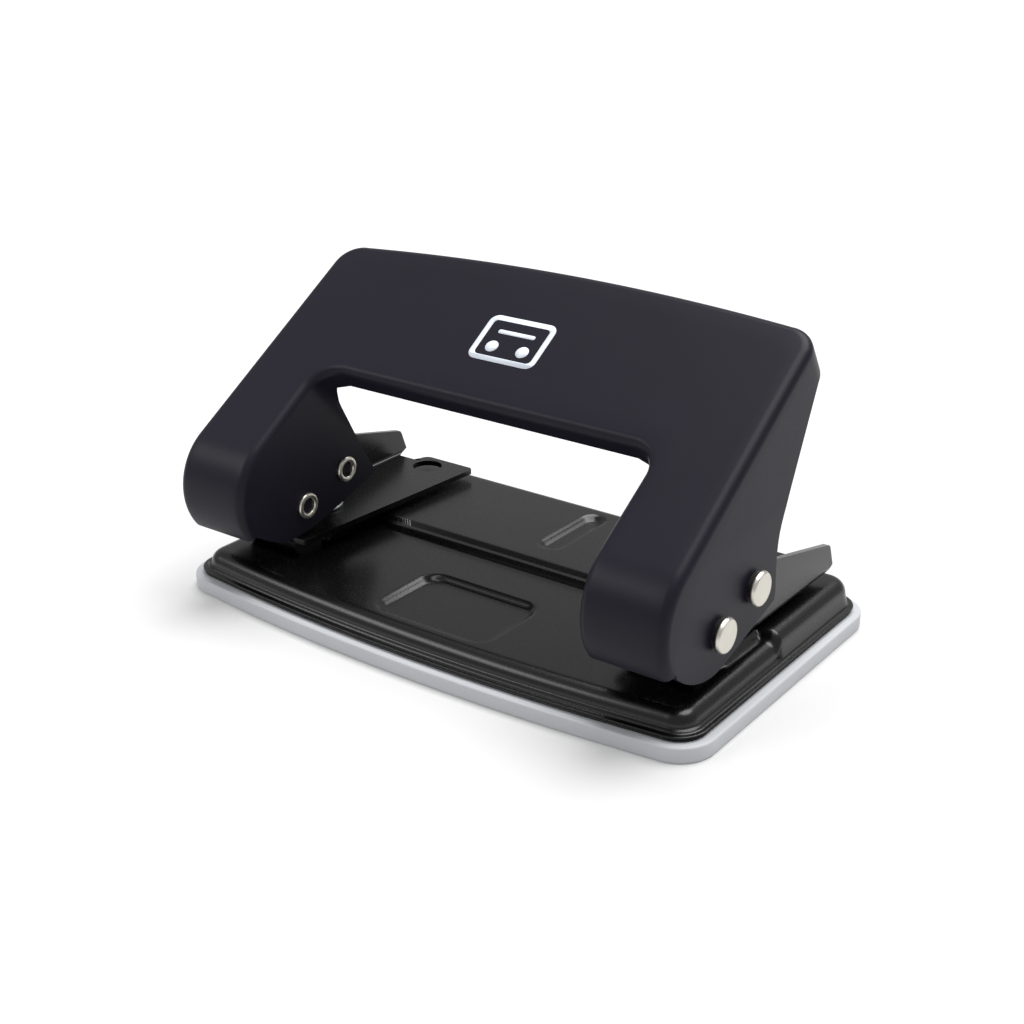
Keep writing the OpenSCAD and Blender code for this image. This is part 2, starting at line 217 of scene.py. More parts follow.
def eased(cx, cz, r, a0, a1, n=4):
    """Points of a small rounded edge in a profile: an arc about (cx, cz) from angle a0 to a1."""
    a = np.radians(np.linspace(a0, a1, n))
    return list(zip(cx + r * np.cos(a), cz + r * np.sin(a)))


# Fine spark-eroded mould texture: grains of about 0.25 mm, drawn coarser than real so that they show
tray_plastic, out = new_material("eroded_grey_polypropylene")
place = add_node(tray_plastic, "ShaderNodeTexCoord")
grain = add_node(tray_plastic, "ShaderNodeTexNoise", Vector=(place, "Object"), Scale=1 / (0.25 * MM),
                 Detail=3.0)
cloud = add_node(tray_plastic, "ShaderNodeTexNoise", Vector=(place, "Object"), Scale=1 / (18 * MM),
                 Detail=2.0)
tone = add_node(tray_plastic, "ShaderNodeMix", {"data_type": "RGBA"}, _0=(cloud, "Fac"),
                _6=hex_colour("aeb0b4"), _7=hex_colour("b8babe"))
bump = add_node(tray_plastic, "ShaderNodeBump", Strength=0.12, Distance=0.02 * MM, Height=(grain, "Fac"))
shaded(tray_plastic, out, add_node(
    tray_plastic, "ShaderNodeBsdfPrincipled", Base_Color=(tone, 2), Roughness=0.5, IOR=1.49,
    Normal=(bump, "Normal")))

# From the underside's middle out, up round the lip, over the clip rim and in along the tray's bottom
WALL, FLOOR_H, RIM_TOP, MIDDLE = 2.5, 1.2, 2.8, 14
tray_profile = [(MIDDLE, 0), *eased(0.5, 0.5, 0.5, 270, 180), *eased(0.35, LIP_H - 0.35, 0.35, 180, 90),
                *eased(WALL - 0.2, LIP_H - 0.2, 0.2, 90, 0), (WALL, FLOOR_H + 0.1), (WALL + 0.2, FLOOR_H),
                (3.45, FLOOR_H), (3.5, FLOOR_H + 0.1), *eased(3.7, RIM_TOP, 0.2, 180, 90),
                *eased(4.3, RIM_TOP, 0.2, 90, 0), (4.5, FLOOR_H + 0.1), (4.6, FLOOR_H), (MIDDLE, FLOOR_H)]
points, count = rings(tray_profile, long_side=80, short_side=36, corner=14)
faces = [range(count)[::-1], *grid_faces(len(tray_profile), count, closed=True),
         range(len(points) - count, len(points))]
tray = surface("chip_tray", points, faces, tray_plastic)
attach(tray, "tray")
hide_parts("tray")


# ---- Base plate ----
# One pressing in 1 mm steel sheet: a flange, a rounded shoulder, the paper bed, a lower front with a sunk
# panel for the thumb, and a centre mark. It is dipped in satin black enamel, which softens every edge.

base_low, base_high = (np.array(c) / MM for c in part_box("base_plate"))
BED_Z = base_high[2]
STEP_H = 1.6
FRONT_Z = BED_Z - STEP_H
BASE_SHEET = 0.9
FLANGE_Z = base_low[2] + BASE_SHEET
SHOULDER_IN, SHOULDER_R = 5.2, 2.4
PANEL_DEEP, LEDGE_H = 0.9, 1.0
die_low, die_high = (np.array(c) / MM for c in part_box("right_die"))
PUNCH_X, PUNCH_Y = (die_low + die_high)[:2] / 2
DIE_R = 4.2


def ease(t):
    """Smooth step: 3 t squared minus 2 t cubed, for t held between 0 and 1."""
    t = np.clip(t, 0, 1)
    return t * t * (3 - 2 * t)


def slab(x, y, cx, cy, half_w, half_d, r):
    """Distance from a rounded rectangle's edge, negative inside."""
    dx, dy = np.abs(x - cx) - half_w + r, np.abs(y - cy) - half_d + r
    return np.hypot(np.maximum(dx, 0), np.maximum(dy, 0)) + np.minimum(np.maximum(dx, dy), 0) - r


def bed_height(x, y):
    """Height of the pressing's flat top: a smooth step leads up from the front to the bed, with a ledge
    along its edge and a boss round each die; the thumb panel and the centre mark are sunk."""
    bed = ease((y - 2.0) / 0.7)
    boss = ease(0.5 - slab(np.abs(x), y, 39, -4, 5.9, 7.5, 3) / 0.8)
    ledge = ease(0.5 - slab(x, y, 0, 4, 29.5, 3.3, 1.6) / 1.0)
    panel = ease(0.5 - slab(x, y, 0.5, -16.6, 11, 7.6, 3) / 1.0)
    mark = ease(0.5 - slab(x, y, 0.8, 16, 1.8, 8, 1.7) / 0.9)
    top = FRONT_Z + (BED_Z - FRONT_Z) * np.maximum(bed, boss)
    return np.maximum(top, FRONT_Z + LEDGE_H * ledge) - PANEL_DEEP * panel - PANEL_DEEP * mark


def enamel(name, colour, light_colour, roughness, gloss, peel_mm, peel, speck):
    """A dark coat of paint whose colour drifts between two tones and whose skin has peel and fine speck."""
    material, output = new_material(name)
    place = add_node(material, "ShaderNodeTexCoord")
    wide = add_node(material, "ShaderNodeTexNoise", Vector=(place, "Object"), Scale=1 / (14 * MM), Detail=3.0)
    skin = add_node(material, "ShaderNodeTexNoise", Vector=(place, "Object"), Scale=1 / (peel_mm * MM),
                    Detail=2.0)
    dust = add_node(material, "ShaderNodeTexNoise", Vector=(place, "Object"), Scale=1 / (0.16 * MM), Detail=1.0)
    tone = add_node(material, "ShaderNodeMix", {"data_type": "RGBA"}, _0=(wide, "Fac"),
                    _6=hex_colour(colour), _7=hex_colour(light_colour))
    rough = add_node(material, "ShaderNodeMapRange", Value=(dust, "Fac"), From_Min=0.3, From_Max=0.7,
                     To_Min=roughness - 0.05, To_Max=roughness + 0.05)
    low = add_node(material, "ShaderNodeBump", Strength=peel, Distance=0.02 * MM, Height=(skin, "Fac"))
    high = add_node(material, "ShaderNodeBump", Strength=speck, Distance=0.01 * MM, Height=(dust, "Fac"),
                    Normal=(low, "Normal"))
    return shaded(material, output, add_node(
        material, "ShaderNodeBsdfPrincipled", Base_Color=(tone, 2), Roughness=(rough, "Result"), IOR=1.5,
        Specular_IOR_Level=gloss, Normal=(high, "Normal")))


# Dipped and baked satin enamel: near black with a clear sheen, broken by orange peel about 1.2 mm across
black_enamel = enamel("satin_black_enamel", "040405", "070708", 0.26, 0.42, 1.2, 0.2, 0.1)

# Border: flange, wall and shoulder follow the outline
border = [(1.32, FLANGE_Z - 0.15), (1.4, FLANGE_Z - 0.03), (1.55, FLANGE_Z), (2.0, FLANGE_Z),
          (2.25, FLANGE_Z + 0.12), (2.4, FLANGE_Z + 0.45)]
counts = dict(long_side=170, short_side=86, corner=12)
loops, heights = [], []
for inset, z in border:
    loops.append(outline(inset, **counts))
    heights.append(z + 0 * loops[-1][:, 0])
for a in np.radians(np.linspace(0, 90, 12)):
    loop = outline(SHOULDER_IN - SHOULDER_R * math.cos(a), **counts)
    level = FRONT_Z + (BED_Z - FRONT_Z) * ease((loop[:, 1] - 2.0) / 0.9)
    loops.append(loop)
    heights.append(level - SHOULDER_R + SHOULDER_R * math.sin(a))
# Inside: straight lines from the shoulder to a short line just in front of the step
edge = loops[-1]
middle = np.stack([np.clip(edge[:, 0], -20, 20), -3 + 0 * edge[:, 0]], -1)
for t in np.linspace(0, 1, 50)[1:]:
    loop = edge + (middle - edge) * t
    loops.append(loop)
    heights.append(bed_height(loop[:, 0], loop[:, 1]))
points = np.stack([np.column_stack([loop, z]) for loop, z in zip(loops, heights)])
rows, columns = points.shape[:2]
points = points.reshape(-1, 3)
# A clean round hole for each die: points near its edge move on to it, and what lies inside goes
for s in (-1, 1):
    offset = points[:, :2] - [s * PUNCH_X, PUNCH_Y]
    r = np.maximum(np.hypot(offset[:, 0], offset[:, 1]), 1e-6)
    near = np.abs(r - DIE_R) < 0.3
    points[near, :2] += (offset * (DIE_R / r - 1)[:, None])[near]
faces = grid_faces(rows, columns, closed=True)
centre = points[faces].mean(1)
inside = np.hypot(np.abs(centre[:, 0]) - PUNCH_X, centre[:, 1] - PUNCH_Y) < DIE_R - 0.02
base = surface("base_pressing", points, faces[~inside], black_enamel)


def finished(piece, thickness=0, round_edge=0, segments=2, weld=True):
    """Merges doubled points, gives a sheet its thickness behind its outer face and eases its edges."""
    if weld:
        modifier = piece.modifiers.new("weld", "WELD")
        modifier.merge_threshold = 0.002 * MM
    if thickness:
        modifier = piece.modifiers.new("thickness", "SOLIDIFY")
        modifier.thickness = thickness * MM
        modifier.offset = -1
    if round_edge:
        modifier = piece.modifiers.new("eased_edges", "BEVEL")
        modifier.width = round_edge * MM
        modifier.segments = segments
        modifier.limit_method = "ANGLE"
        modifier.angle_limit = math.radians(50)
        modifier.harden_normals = True
    return piece


finished(base, thickness=BASE_SHEET)
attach(base, "base")
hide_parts("base_plate")


# ---- Handle ----
# One blank of 1.2 mm steel, folded down all round: a flange outside each leg, one inside each leg that runs
# on as the window's lip, and one along the top; the front of each leg is rolled. Fine matt powder coat.

joint = next(j for j in frame["joints"] if j["name"] == "handle_press")
PIVOT_Y, PIVOT_Z = joint["pos_m"][1] / MM, joint["pos_m"][2] / MM
HANDLE_T = 1.2
LEG_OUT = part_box("handle")[1][0] / MM
LEG_W = 14.4
LEG_IN = LEG_OUT - LEG_W
SLOPE = math.radians(33)
ROLL_R = 10.9
ROLL_Y, ROLL_Z = PIVOT_Y - 4.4, PIVOT_Z + 4.3
ROLL_END = 218
ROLL_LEN = ROLL_R * (math.radians(ROLL_END - 90) - SLOPE)
PLATE_LEN, PLATE_BOW, PLATE_CORNER = 45.8, 2.1, 5.0
WINDOW_TOP, WINDOW_CORNER, WINDOW_LIP = 18.5, 4.5, 3.9
TOP_FLANGE, SIDE_FLANGE = 6.5, 7.0
OUTER_FOLD, INNER_FOLD = 1.6, 1.5
TAPER = 0.7


def skin(x, s, d):
    """Point of the handle: s is the way up the sheet from the roll's tangent line, negative round the roll,
    and d the depth under the outer face."""
    x, s, d = np.broadcast_arrays(*(np.asarray(v, float) for v in (x, s, d)))
    a = math.pi / 2 + SLOPE - np.minimum(s, 0) / ROLL_R
    flat = np.maximum(s, 0)
    y = ROLL_Y + (ROLL_R - d) * np.cos(a) + flat * math.cos(SLOPE)
    z = ROLL_Z + (ROLL_R - d) * np.sin(a) + flat * math.sin(SLOPE)
    return np.stack([x, y, z], -1)


def soften(corners, times=3):
    """Cuts the corners of an open line: each pass puts points at 1/4 and 3/4 of each span."""
    line = np.array(corners, float)
    for _ in range(times):
        cut = np.concatenate([line[:-1] * 0.75 + line[1:] * 0.25, line[:-1] * 0.25 + line[1:] * 0.75], 1)
        line = np.concatenate([line[:1], cut.reshape(-1, line.shape[1]), line[-1:]])
    return line


def along(line, share):
    """Points at the given shares of a line's length."""
    length = np.concatenate([[0], np.cumsum(np.linalg.norm(np.diff(line, axis=0), axis=1))])
    return np.stack([np.interp(share, length / length[-1], line[:, i]) for i in range(line.shape[1])], -1)


# Rows run from the front end of the right leg's roll, up the leg and round the corner to the middle
roll_s = np.linspace(-ROLL_LEN, 0, 34)
leg_k = np.linspace(0, 1, 15)[1:]
turn_b = np.radians(np.linspace(0, 90, 13))[1:]
top_k = np.linspace(1, 0, 22)[1:]
outer_side_s, inner_side_s = PLATE_LEN - PLATE_CORNER, WINDOW_TOP - WINDOW_CORNER
narrow = LEG_OUT - TAPER * np.clip(outer_side_s * leg_k / PLATE_LEN, 0, 1)
corner_x = narrow[-1] - PLATE_CORNER
outer_x = np.concatenate([LEG_OUT + 0 * roll_s, narrow, corner_x + PLATE_CORNER * np.cos(turn_b),
                          corner_x * top_k])
outer_s = np.concatenate([roll_s, outer_side_s * leg_k, outer_side_s + PLATE_CORNER * np.sin(turn_b),
                          PLATE_LEN + PLATE_BOW * (1 - top_k ** 2)])
outer_way = np.concatenate([0 * roll_s, 0 * leg_k, turn_b, np.pi / 2 + 0 * top_k])
window_x = LEG_IN - WINDOW_CORNER
inner_x = np.concatenate([LEG_IN + 0 * roll_s, LEG_IN + 0 * leg_k, window_x + WINDOW_CORNER * np.cos(turn_b),
                          window_x * top_k])
inner_s = np.concatenate([roll_s, inner_side_s * leg_k, inner_side_s + WINDOW_CORNER * np.sin(turn_b),
                          WINDOW_TOP + 0 * top_k])
side_rows = len(roll_s) + len(leg_k)
share = np.linspace(0, 1, side_rows)

# Free edges of the flanges in the side view, measured from the pivot: lower edge, heel, rear edge
outer_free = soften([
    (-11.4, -2.4), (-8.8, -4.4), (-5.2, -5.9), (-1.8, -6.5), (1.4, -6.2), (9, -3.7), (16.0, -1.7),
    (17.4, -1.2), (17.0, 1.0), (16.8, 7.6), (17.9, 11.7), (23.0, 20.9), (28.1, 30.1)])
inner_free = soften([
    (-11.2, -2.2), (-8.6, -3.8), (-5.4, -4.9), (-2.6, -5.0), (1.6, -4.4), (9, -2.3), (16.6, 0.1),
    (17.9, 0.5), (17.2, 1.7), (14.8, 5.6), (12.6, 9.6)])
outer_edge = np.zeros((len(outer_x), 3))
outer_edge[:side_rows, 0] = outer_x[:side_rows]
outer_edge[:side_rows, 1:] = along(outer_free, share) + [PIVOT_Y, PIVOT_Z]
fall = ease(np.degrees(turn_b) / 90)
depth = np.concatenate([SIDE_FLANGE + (TOP_FLANGE - SIDE_FLANGE) * fall, TOP_FLANGE + 0 * top_k])
outer_edge[side_rows:] = skin(outer_x[side_rows:], outer_s[side_rows:], depth)
inner_edge = np.zeros((len(inner_x), 3))
inner_edge[:side_rows, 0] = LEG_IN
inner_edge[:side_rows, 1:] = along(inner_free, share) + [PIVOT_Y, PIVOT_Z]
# In the window's corners the flange's rear edge runs on up to the lip
corner_k = np.degrees(turn_b) / 90
stops = [0, 0.4, 0.65, 1]
inner_edge[side_rows:side_rows + len(turn_b)] = skin(
    np.interp(corner_k, stops, [LEG_IN, LEG_IN - 0.2, LEG_IN - 1.4, window_x]),
    np.interp(corner_k, stops, [17.15, 17.6, 17.9, WINDOW_TOP]),
    np.interp(corner_k, stops, [15.7, 8.4, 4.6, WINDOW_LIP]))
inner_edge[side_rows + len(turn_b):] = skin(window_x * top_k, WINDOW_TOP, WINDOW_LIP)


def fold(x, s, way, radius, inward):
    """The round fold from the plate to a flange, for each row: at angle t from the plate, the point is
    radius times 1 - sin t inside the edge and radius times 1 - cos t deep."""
    t = np.radians(np.linspace(0, 90, 9))[None, :]
    inset = radius * (1 - np.sin(t))
    return skin(x[:, None] - inward * np.cos(way)[:, None] * inset,
                s[:, None] - inward * np.sin(way)[:, None] * inset, radius * (1 - np.cos(t)))


outer_fold = fold(outer_x, outer_s, outer_way, OUTER_FOLD, 1)
inner_fold = fold(inner_x, inner_s, outer_way, INNER_FOLD, -1)


def spread(a, b, n):
    """n rows of points between the ends a and b, ends left out."""
    k = np.linspace(0, 1, n + 2)[1:-1][None, :, None]
    return a[:, None] * (1 - k) + b[:, None] * k


plate_k = np.linspace(0, 1, 9)[1:-1]
plate_x = inner_x[:, None] + INNER_FOLD * np.cos(outer_way)[:, None] + plate_k * (
    outer_x - inner_x - (INNER_FOLD + OUTER_FOLD) * np.cos(outer_way))[:, None]
plate_s = inner_s[:, None] + INNER_FOLD * np.sin(outer_way)[:, None] + plate_k * (
    outer_s - inner_s - (INNER_FOLD + OUTER_FOLD) * np.sin(outer_way))[:, None]
half = np.concatenate([
    inner_edge[:, None], spread(inner_edge, inner_fold[:, -1], 5), inner_fold[:, ::-1],
    skin(plate_x, plate_s, 0), outer_fold, spread(outer_fold[:, -1], outer_edge, 5), outer_edge[:, None]], 1)
whole = np.concatenate([half, half[-2::-1] * [-1, 1, 1]])
rows, columns = whole.shape[:2]

# Baked powder coat: matt charcoal with a slight violet cast, a soft broad sheen and peel 0.9 mm across
powder_coat = enamel("charcoal_powder_coat", "17151e", "1b1923", 0.4, 0.14, 0.9, 0.2, 0.5)
handle = surface("handle_stamping", whole.reshape(-1, 3), grid_faces(rows, columns), powder_coat)
finished(handle, thickness=HANDLE_T, round_edge=0.22)
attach(handle, "handle")
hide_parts("handle")


# ---- Sheet sign ----
# A plain pictogram of a sheet with two holes, pad-printed in pale grey on the handle's front. It is a film
# of ink a few hundredths of a millimetre thick, and names nothing.

pad_print, out = new_material("pale_grey_pad_print")
place = add_node(pad_print, "ShaderNodeTexCoord")
# Thin pad-printing ink, pale grey and nearly matt, with slight flecks where it covers less
fleck = add_node(pad_print, "ShaderNodeTexNoise", Vector=(place, "Object"), Scale=1 / (0.3 * MM), Detail=2.0)
tone = add_node(pad_print, "ShaderNodeMix", {"data_type": "RGBA"}, _0=(fleck, "Fac"),
                _6=hex_colour("d3dae6"), _7=hex_colour("e2e8f2"))
shaded(pad_print, out, add_node(pad_print, "ShaderNodeBsdfPrincipled", Base_Color=(tone, 2), Roughness=0.45))


def blank(name, lines, material, place_points, cuts=()):
    """A sheet cut to the first closed line, with the others as holes, sliced across at each u in cuts, and
    laid into place by place_points, which takes u and v and returns points in millimetres."""
    curve = bpy.data.curves.new(name, "CURVE")
    curve.dimensions = "2D"
    curve.fill_mode = "BOTH"
    for line in lines:
        spline = curve.splines.new("POLY")
        spline.points.add(len(line) - 1)
        spline.points.foreach_set("co", np.hstack([line, np.tile([0, 1], (len(line), 1))]).ravel())
        spline.use_cyclic_u = True
    holder = bpy.data.objects.new(name, curve)
    mesh = bpy.data.meshes.new_from_object(holder)
    bpy.data.objects.remove(holder)
    work = bmesh.new()
    work.from_mesh(mesh)
    for u in cuts:
        bmesh.ops.bisect_plane(work, geom=work.verts[:] + work.edges[:] + work.faces[:], dist=1e-5,
                               plane_co=(u, 0, 0), plane_no=(1, 0, 0))
    work.verts.index_update()
    flat = np.array([v.co[:2] for v in work.verts])
    faces = [[v.index for v in f.verts] for f in work.faces]
    work.free()
    return surface(name, place_points(flat[:, 0], flat[:, 1]), faces, material)


def circle(u, v, r, n=40):
    """A closed circle of n points."""
    a = np.linspace(0, 2 * np.pi, n, endpoint=False)
    return np.stack([u + r * np.cos(a), v + r * np.sin(a)], -1)


def rounded(u0, u1, v0, v1, r, n=8):
    """A closed rectangle with corners of radius r."""
    corners = [(u1 - r, v0 + r, -90), (u1 - r, v1 - r, 0), (u0 + r, v1 - r, 90), (u0 + r, v0 + r, 180)]
    turns = [np.radians(start + np.linspace(0, 90, n)) for u, v, start in corners]
    return np.concatenate([np.stack([u + r * np.cos(a), v + r * np.sin(a)], -1)
                           for (u, v, start), a in zip(corners, turns)])


SIGN_X, SIGN_S, SIGN_W, SIGN_H, STROKE, INK = -1.3, 31.6, 13.0, 9.4, 1.0, 0.03
left, right = SIGN_X - SIGN_W / 2, SIGN_X + SIGN_W / 2
low, high = SIGN_S - SIGN_H / 2, SIGN_S + SIGN_H / 2
lines = [[rounded(left, right, low, high, 1.6),
          rounded(left + STROKE, right - STROKE, low + STROKE, high - STROKE, 0.8)]]
lines += [[circle(SIGN_X + k * 3.0, low + 3.0, 1.15)] for k in (-1, 1)]
lines += [[rounded(SIGN_X - 3.6, SIGN_X + 3.6, high - 3.6, high - 2.8, 0.35)]]
for i, line in enumerate(lines):
    sign = blank(f"punched_sheet_sign_{i}", line, pad_print, lambda u, v: skin(u, v, 0.01))
    finished(sign, thickness=INK)
    sign.modifiers["thickness"].offset = 1
    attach(sign, "handle")


# ---- Brackets ----
# Two folded brackets in 1 mm steel, enamelled black like the base. The foot covers the paper, its outer edge
# turns up as the ear that carries the pivot, and a lug stands inside; a tab under it is riveted to the base.

EAR_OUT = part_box("right_bracket")[1][0] / MM
SHEET = 1.0
FOOT_Z = BED_Z + 1.0
FOLD_R = 1.5
FOLD_X = EAR_OUT - FOLD_R
PIN_R = 1.8
STOP_Y = PUNCH_Y - 12
FOOT_FRONT = STOP_Y - SHEET
RIVET_X, RIVET_Y = (-3.6, 1.6), STOP_Y + 2.7


def bent(u, start, r):
    """Across and up, for a sheet that runs flat to start and is then folded up square round radius r."""
    a = np.clip((u - start) / r, 0, np.pi / 2)
    return np.minimum(u, start) + r * np.sin(a), r * (1 - np.cos(a)) + np.maximum(u - start - r * np.pi / 2, 0)


def arc(u, v, r, a0, a1, n=12):
    """Points of an arc about (u, v) from angle a0 to a1, in degrees."""
    a = np.radians(np.linspace(a0, a1, n))
    return np.stack([u + r * np.cos(a), v + r * np.sin(a)], -1)


def unfolded(y, z):
    """Where a point (y, z) of the ear lies on the flat blank."""
    return np.stack([FOLD_X + FOLD_R * np.pi / 2 + np.asarray(z) - FOOT_Z - FOLD_R, np.asarray(y) + 0 * z], -1)


EAR_R, EAR_SLOPE, EAR_REAR = 8.4, 13.5, 23.0
drop = math.tan(math.radians(EAR_SLOPE))
ear_tip_z = PIVOT_Z + EAR_R / math.cos(math.radians(EAR_SLOPE)) - (EAR_REAR - PIVOT_Y) * drop
nose = arc(PIVOT_Y, PIVOT_Z, EAR_R, 200, 90 - EAR_SLOPE, 26)
tip = arc(EAR_REAR - 0.1, ear_tip_z - 1.2, 1.2, 90 - EAR_SLOPE, 20, 6)
ear_line = np.concatenate([[[FOOT_FRONT, 10.7]], nose, tip, [[25.3, 10.7]]])
foot_rear = arc(PUNCH_X - 1.6, 23.8, 1.5, 0, 90, 6)
foot_line = np.array([[FOLD_X, 22.5], [PUNCH_X + 0.6, 22.5], *foot_rear, [29.1, 25.3], [28.5, 24.8],
                      [31.2, FOOT_FRONT + 0.5], [31.7, FOOT_FRONT], [FOLD_X, FOOT_FRONT]])
foot_outline = np.concatenate([unfolded(ear_line[:, 0], ear_line[:, 1]), foot_line])
# The ear's slot lets the pusher pin swing down about the pivot from its angle at rest
PUSH_ARM, PUSH_ANGLE, PUSH_SWING, SLOT_R = 10.6, 19.3, 17, PIN_R + 0.35
swing = np.radians([PUSH_ANGLE - PUSH_SWING, PUSH_ANGLE])
slot_ends = [(PIVOT_Y + PUSH_ARM * math.cos(a), PIVOT_Z + PUSH_ARM * math.sin(a)) for a in swing]
slot = np.concatenate([arc(*slot_ends[1], SLOT_R, 20, 199, 14), arc(*slot_ends[0], SLOT_R, 182, 362, 14)])
pivot_hole = circle(PIVOT_Y, PIVOT_Z, PIN_R + 0.05)
GUIDE_R, SIGHT_R = 3.6, 2.75
foot_holes = [circle(PUNCH_X, PUNCH_Y, GUIDE_R), circle(36.3, 21.3, SIGHT_R, 48),
              unfolded(slot[:, 0], slot[:, 1]), unfolded(pivot_hole[:, 0], pivot_hole[:, 1])]
fold_cuts = FOLD_X + FOLD_R * np.radians(np.linspace(0, 90, 9))


def foot_place(u, v):
    """The folded foot and ear: flat across, then up round the fold."""
    across, up = bent(u, FOLD_X, FOLD_R)
    return np.stack([across, v, FOOT_Z + up], -1)


TAB_FOLD, TAB_R, TAB_LEN = 1.1, 1.6, 9.0


def tab_place(u, v):
    """The tab: down from the foot at the paper stop, then back along the base."""
    down, back = bent(u, TAB_FOLD, TAB_R)
    return np.stack([v, FOOT_FRONT + back, FRONT_Z + TAB_FOLD + TAB_R - down], -1)


lug_line = np.concatenate([arc(PIVOT_Y, PIVOT_Z, 5, 0, 190, 20), [[FOOT_FRONT, FOOT_Z + 0.5],
                                                                  [PIVOT_Y + 5, FOOT_Z + 0.5]]])
LUG_X = LEG_IN + HANDLE_T + 0.3


def both_sides(name, body, make):
    """Makes a piece for the right side, and its mirror image with the faces turned back outwards."""
    for label, s in (("left", -1), ("right", 1)):
        piece = make(f"{label}_{name}")
        if s < 0:
            points = np.empty(len(piece.data.vertices) * 3, np.float32)
            piece.data.vertices.foreach_get("co", points)
            points[::3] *= -1
            piece.data.vertices.foreach_set("co", points)
            piece.data.flip_normals()
            piece.data.update()
        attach(piece, f"{label}_{body}" if body == "punch" else body)
        yield label, piece


def facing(piece, direction):
    """Turns all faces of a flat or folded blank if they don't look the given way on the whole."""
    total = sum((Vector(f.normal) * f.area for f in piece.data.polygons), Vector())
    if total.dot(Vector(direction)) < 0:
        piece.data.flip_normals()
        piece.data.update()
    return piece


for label, foot in both_sides("foot_and_ear", "base", lambda name: facing(blank(
        name, [foot_outline, *foot_holes], black_enamel, foot_place, fold_cuts), (0.3, 0, -1))):
    finished(foot, thickness=SHEET, round_edge=0.18)
    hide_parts(f"{label}_bracket")
for label, lug in both_sides("lug", "base", lambda name: facing(blank(
        name, [lug_line, pivot_hole], black_enamel, lambda u, v: np.stack([LUG_X + 0 * u, u, v], -1)),
        (-1, 0, 0))):
    finished(lug, thickness=SHEET, round_edge=0.12)
tab_hole_u = TAB_FOLD + TAB_R * (np.pi / 2 - 1) + RIVET_Y - FOOT_FRONT
tab_holes = [circle(tab_hole_u, PUNCH_X + x, 1.0, 24) for x in RIVET_X]
for label, tab in both_sides("tab", "base", lambda name: facing(blank(
        name, [rounded(-0.3, TAB_LEN, PUNCH_X - 6.5, PUNCH_X + 4.5, 0.6), *tab_holes], black_enamel, tab_place,
        TAB_FOLD + TAB_R * np.radians(np.linspace(0, 90, 7))), (0, -1, -1))):
    finished(tab, thickness=SHEET, round_edge=0.12)


# ---- Pins ----
# Four turned steel pins, nickel plated and tumbled to a satin sheen. Each has a flat chamfered head outside
# the leg, and its hollow inner end is rolled over on the inner flange like an eyelet.

def lathe(name, profile, centre, axis, material, ring=False, n=64):
    """Turns a profile of (radius, distance along the axis) about an axis through centre; a ring's profile
    closes on itself, and any other is closed at both ends."""
    axis = np.array(axis, float)
    first = np.cross(axis, [0, 0, 1] if abs(axis[2]) < 0.9 else [1, 0, 0])
    first /= np.linalg.norm(first)
    second = np.cross(axis, first)
    a = np.linspace(0, 2 * np.pi, n, endpoint=False)
    spokes = np.cos(a)[:, None] * first + np.sin(a)[:, None] * second
    profile = np.array(profile, float)
    points = centre + profile[:, None, :1] * spokes[None] + profile[:, None, 1:] * axis
    rows = len(profile)
    faces = [*grid_faces(rows, n, closed=True)]
    if ring:
        faces += [((rows - 1) * n + j, (rows - 1) * n + (j + 1) % n, (j + 1) % n, j) for j in range(n)]
    else:
        faces += [range(n)[::-1], range((rows - 1) * n, rows * n)]
    return surface(name, points.reshape(-1, 3), faces, material)


def metal(name, colour, dark_colour, roughness, grain_mm, bump):
    """A bare or plated metal: its tone and polish vary a little from place to place, over a fine grain."""
    material, output = new_material(name)
    place = add_node(material, "ShaderNodeTexCoord")
    wide = add_node(material, "ShaderNodeTexNoise", Vector=(place, "Object"), Scale=1 / (1.6 * MM), Detail=3.0)
    grain = add_node(material, "ShaderNodeTexNoise", Vector=(place, "Object"), Scale=1 / (grain_mm * MM),
                     Detail=2.0)
    tone = add_node(material, "ShaderNodeMix", {"data_type": "RGBA"}, _0=(wide, "Fac"),
                    _6=hex_colour(dark_colour), _7=hex_colour(colour))
    rough = add_node(material, "ShaderNodeMapRange", Value=(wide, "Fac"), From_Min=0.3, From_Max=0.7,
                     To_Min=roughness - 0.05, To_Max=roughness + 0.06)
    bumps = add_node(material, "ShaderNodeBump", Strength=bump, Distance=0.01 * MM, Height=(grain, "Fac"))
    return shaded(material, output, add_node(
        material, "ShaderNodeBsdfPrincipled", Base_Color=(tone, 2), Metallic=1.0, Roughness=(rough, "Result"),
        Normal=(bumps, "Normal")))


# Nickel plate, tumbled: a warm pale metal with a soft, slightly cloudy highlight
satin_nickel = metal("tumbled_satin_nickel", "dedad0", "cbc7bd", 0.34, 0.12, 0.3)
HEAD_R, HEAD_H, NECK_R, NECK_H, RING_R, BORE_R = 2.8, 1.6, 2.4, 0.8, 2.26, 1.36
pin_profile = [
    (0.02, HEAD_H), (1.6, HEAD_H), *eased(HEAD_R - 0.45, HEAD_H - 0.3, 0.3, 90, 20),
    (HEAD_R, HEAD_H - 0.5), (HEAD_R, NECK_H + 0.05), (HEAD_R - 0.05, NECK_H), (NECK_R, NECK_H),
    (NECK_R, 0), (PIN_R, 0), (PIN_R, -LEG_W), (RING_R - 0.05, -LEG_W - 0.01), (RING_R, -LEG_W - 0.1),
    *[(RING_R - 0.32 + r, -LEG_W - 0.33 - t) for r, t in eased(0, 0, 0.32, 0, 90)],
    *[(BORE_R + 0.3 + r, -LEG_W - 0.33 - t) for r, t in eased(0, 0, 0.32, 90, 180)],
    (BORE_R, -LEG_W + 0.1), (BORE_R, -LEG_W + 3.9), (BORE_R - 0.15, -LEG_W + 4.0), (0.02, -LEG_W + 4.0)]
PUSH_Y, PUSH_Z = slot_ends[1]
